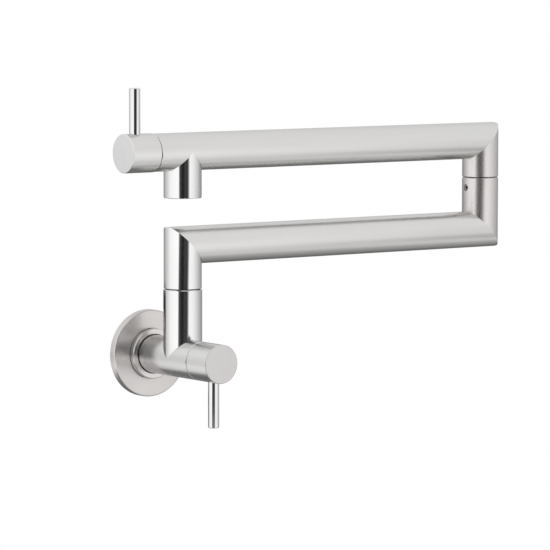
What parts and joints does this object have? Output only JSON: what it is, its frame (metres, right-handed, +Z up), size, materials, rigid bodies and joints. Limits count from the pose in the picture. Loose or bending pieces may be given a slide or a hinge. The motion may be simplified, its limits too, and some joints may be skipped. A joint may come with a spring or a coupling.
{
  "type": "wall mounted pot filler",
  "caption": "Folding wall-mounted pot filler tap: round brushed steel arms with mitred corners and swivel joints, with pin-lever valves at the wall and at the spout.",
  "frame": {"origin": "centre of the threaded water inlet's mouth, in the plane of the wall", "axes": "+Y into the wall, along the inlet; +Z up; +X along the folded arms, to the right for someone who faces the wall"},
  "size_m": [0.3461, 0.0977, 0.2471],
  "materials": {
    "turned_steel": "turned satin",
    "satin_steel": "satin brushed along the tube",
    "polished_steel": "near polished",
    "screw_steel": "machined",
    "brass": "machined",
    "seal_rubber": "matte",
    "washer_plastic": "matte",
    "disc_ceramic": "lapped",
    "aerator_plastic": "moulded"
  },
  "bodies": {
    "wall_body": {"wall_flange": "turned_steel", "flange_collar": "turned_steel", "collar_ring": "seal_rubber", "body_tube": "satin_steel", "inlet_socket": "brass", "riser_stub": "polished_steel", "riser_socket": "brass", "riser_slip_washer": "washer_plastic", "riser_retaining_screw": "screw_steel", "lower_seat_ring": "brass", "lower_seat_seal": "seal_rubber", "lower_cartridge": "brass", "lower_cartridge_ring": "seal_rubber", "lower_fixed_disc": "disc_ceramic"},
    "lower_handle": {"lower_handle_cap": "satin_steel", "lower_lever": "polished_steel", "lower_handle_screw": "screw_steel", "lower_stem": "brass", "lower_moving_disc": "disc_ceramic", "lower_stem_ring": "seal_rubber"},
    "lower_arm": {"riser_elbow": "polished_steel", "riser_spigot": "brass", "riser_spigot_rings": "seal_rubber", "lower_arm_tube": "satin_steel", "elbow_lower_post": "satin_steel", "elbow_socket": "brass", "elbow_slip_washer": "washer_plastic", "elbow_retaining_screw": "screw_steel"},
    "upper_arm": {"elbow_upper_post": "satin_steel", "elbow_spigot": "brass", "elbow_spigot_rings": "seal_rubber", "upper_arm_tube": "satin_steel", "spout_nozzle": "polished_steel", "aerator_housing": "polished_steel", "aerator_insert": "aerator_plastic", "aerator_screen": "screw_steel", "aerator_gasket": "seal_rubber", "upper_seat_ring": "brass", "upper_seat_seal": "seal_rubber", "upper_cartridge": "brass", "upper_cartridge_ring": "seal_rubber", "upper_fixed_disc": "disc_ceramic"},
    "upper_handle": {"upper_handle_cap": "satin_steel", "upper_lever": "polished_steel", "upper_handle_screw": "screw_steel", "upper_stem": "brass", "upper_moving_disc": "disc_ceramic", "upper_stem_ring": "seal_rubber"}
  },
  "joints": [
    {"name": "lower_handle_turn", "type": "hinge", "parent": "wall_body", "child": "lower_handle", "pos_m": [0, -0.0727, 0], "axis": [0, -1, 0], "range_deg": [0, 90]},
    {"name": "riser_swivel", "type": "hinge", "parent": "wall_body", "child": "lower_arm", "pos_m": [0, -0.048, 0.0515], "axis": [0, 0, -1], "range_deg": [0, 180]},
    {"name": "elbow_swivel", "type": "hinge", "parent": "lower_arm", "child": "upper_arm", "pos_m": [0.28, -0.048, 0.124], "axis": [0, 0, 1], "continuous": true},
    {"name": "upper_handle_turn", "type": "hinge", "parent": "upper_arm", "child": "upper_handle", "pos_m": [-0.0271, -0.048, 0.1523], "axis": [-1, 0, 0], "range_deg": [0, 90]}
  ]
}
